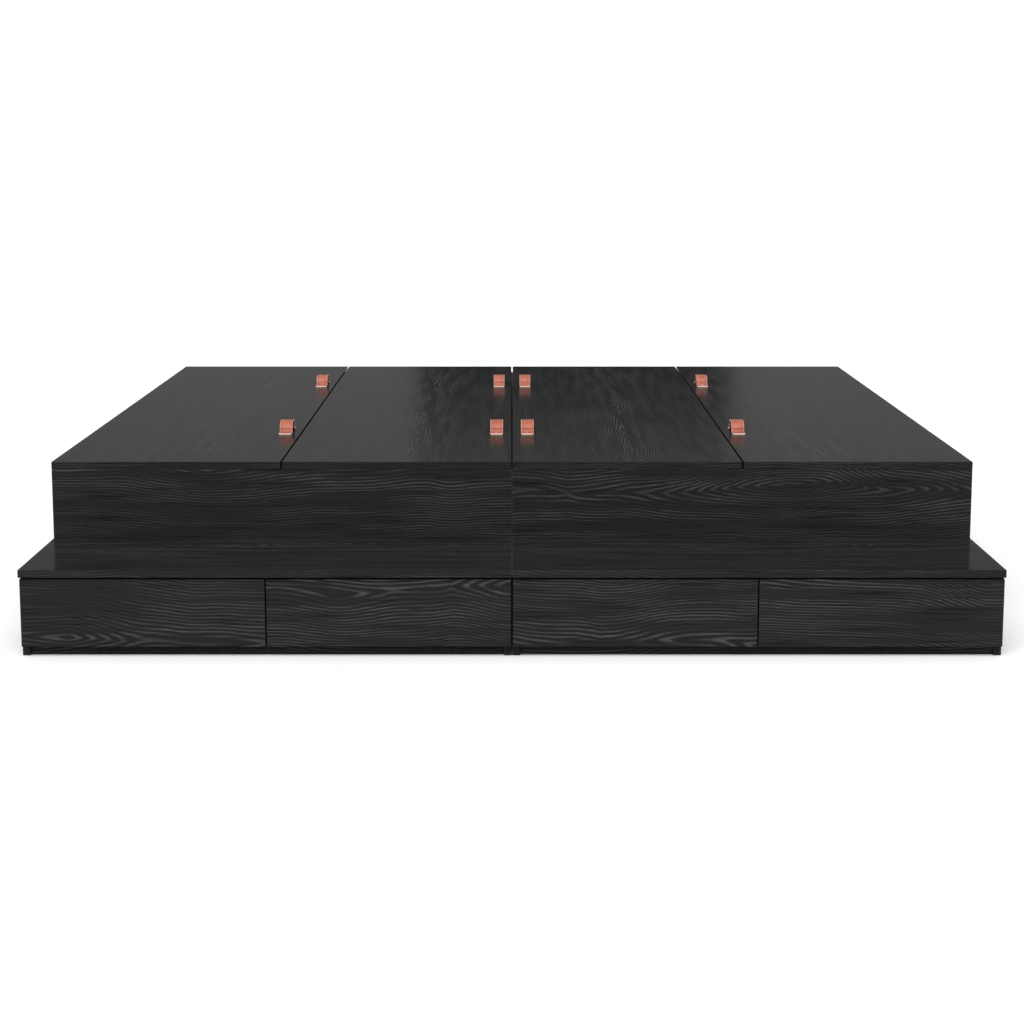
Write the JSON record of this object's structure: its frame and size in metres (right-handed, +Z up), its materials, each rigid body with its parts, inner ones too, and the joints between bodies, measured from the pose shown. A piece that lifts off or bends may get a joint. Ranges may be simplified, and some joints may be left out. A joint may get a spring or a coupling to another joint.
{
  "type": "platform bed with storage",
  "caption": "Low platform bed in black oak: lift-up lids with leather strap pulls over storage boxes, and a drawer step along one end.",
  "frame": {"origin": "on the floor, under the middle of the whole footprint", "axes": "+Z up, the step with the drawers faces -Y, +X to the right of someone who faces the step"},
  "size_m": [2, 2.36, 0.3772],
  "materials": {
    "black_oak": "satin black-stained oak decor on board, with matching edge banding",
    "drawer_board": "plain dark laminated board",
    "hardboard": "dark lacquered hardboard",
    "tan_leather": "smooth semi-matt terracotta leather",
    "zinc_steel": "bright zinc plate"
  },
  "bodies": {
    "carcass": {"left_box_riser": "black_oak", "left_box_back": "black_oak", "left_box_outer_side": "black_oak", "left_box_inner_side": "black_oak", "left_box_partition": "black_oak", "left_box_outer_floor": "black_oak", "left_box_inner_floor": "black_oak", "left_step_top": "black_oak", "left_step_outer_side": "black_oak", "left_step_inner_side": "black_oak", "left_step_plinth": "black_oak", "left_step_divider": "black_oak", "lid_1_hinge_arm": "zinc_steel", "lid_2_hinge_arm": "zinc_steel", "right_box_riser": "black_oak", "right_box_back": "black_oak", "right_box_outer_side": "black_oak", "right_box_inner_side": "black_oak", "right_box_partition": "black_oak", "right_box_outer_floor": "black_oak", "right_box_inner_floor": "black_oak", "right_step_top": "black_oak", "right_step_outer_side": "black_oak", "right_step_inner_side": "black_oak", "right_step_plinth": "black_oak", "right_step_divider": "black_oak", "lid_4_hinge_arm": "zinc_steel", "lid_3_hinge_arm": "zinc_steel"},
    "drawer_1": {"drawer_1_front": "black_oak", "drawer_1_left_side": "drawer_board", "drawer_1_right_side": "drawer_board", "drawer_1_back": "drawer_board", "drawer_1_bottom": "hardboard"},
    "drawer_2": {"drawer_2_front": "black_oak", "drawer_2_left_side": "drawer_board", "drawer_2_right_side": "drawer_board", "drawer_2_back": "drawer_board", "drawer_2_bottom": "hardboard"},
    "drawer_3": {"drawer_3_front": "black_oak", "drawer_3_left_side": "drawer_board", "drawer_3_right_side": "drawer_board", "drawer_3_back": "drawer_board", "drawer_3_bottom": "hardboard"},
    "drawer_4": {"drawer_4_front": "black_oak", "drawer_4_left_side": "drawer_board", "drawer_4_right_side": "drawer_board", "drawer_4_back": "drawer_board", "drawer_4_bottom": "hardboard"},
    "lid_1": {"lid_1": "black_oak", "lid_1_front_pull": "tan_leather", "lid_1_rear_pull": "tan_leather"},
    "lid_2": {"lid_2": "black_oak", "lid_2_front_pull": "tan_leather", "lid_2_rear_pull": "tan_leather"},
    "lid_3": {"lid_3": "black_oak", "lid_3_front_pull": "tan_leather", "lid_3_rear_pull": "tan_leather"},
    "lid_4": {"lid_4": "black_oak", "lid_4_front_pull": "tan_leather", "lid_4_rear_pull": "tan_leather"}
  },
  "joints": [
    {"name": "drawer_1_slide", "type": "slide", "parent": "carcass", "child": "drawer_1", "axis": [0, -1, 0], "range_m": [0, 0.24]},
    {"name": "drawer_2_slide", "type": "slide", "parent": "carcass", "child": "drawer_2", "axis": [0, -1, 0], "range_m": [0, 0.24]},
    {"name": "drawer_3_slide", "type": "slide", "parent": "carcass", "child": "drawer_3", "axis": [0, -1, 0], "range_m": [0, 0.24]},
    {"name": "drawer_4_slide", "type": "slide", "parent": "carcass", "child": "drawer_4", "axis": [0, -1, 0], "range_m": [0, 0.24]},
    {"name": "lid_1_hinge", "type": "hinge", "parent": "carcass", "child": "lid_1", "pos_m": [-1, 0.18, 0.35], "axis": [0, -1, 0], "range_deg": [0, 100]},
    {"name": "lid_2_hinge", "type": "hinge", "parent": "carcass", "child": "lid_2", "pos_m": [-0.499, 0.18, 0.35], "axis": [0, -1, 0], "range_deg": [0, 100]},
    {"name": "lid_3_hinge", "type": "hinge", "parent": "carcass", "child": "lid_3", "pos_m": [0.499, 0.18, 0.35], "axis": [0, 1, 0], "range_deg": [0, 100]},
    {"name": "lid_4_hinge", "type": "hinge", "parent": "carcass", "child": "lid_4", "pos_m": [1, 0.18, 0.35], "axis": [0, 1, 0], "range_deg": [0, 100]}
  ]
}
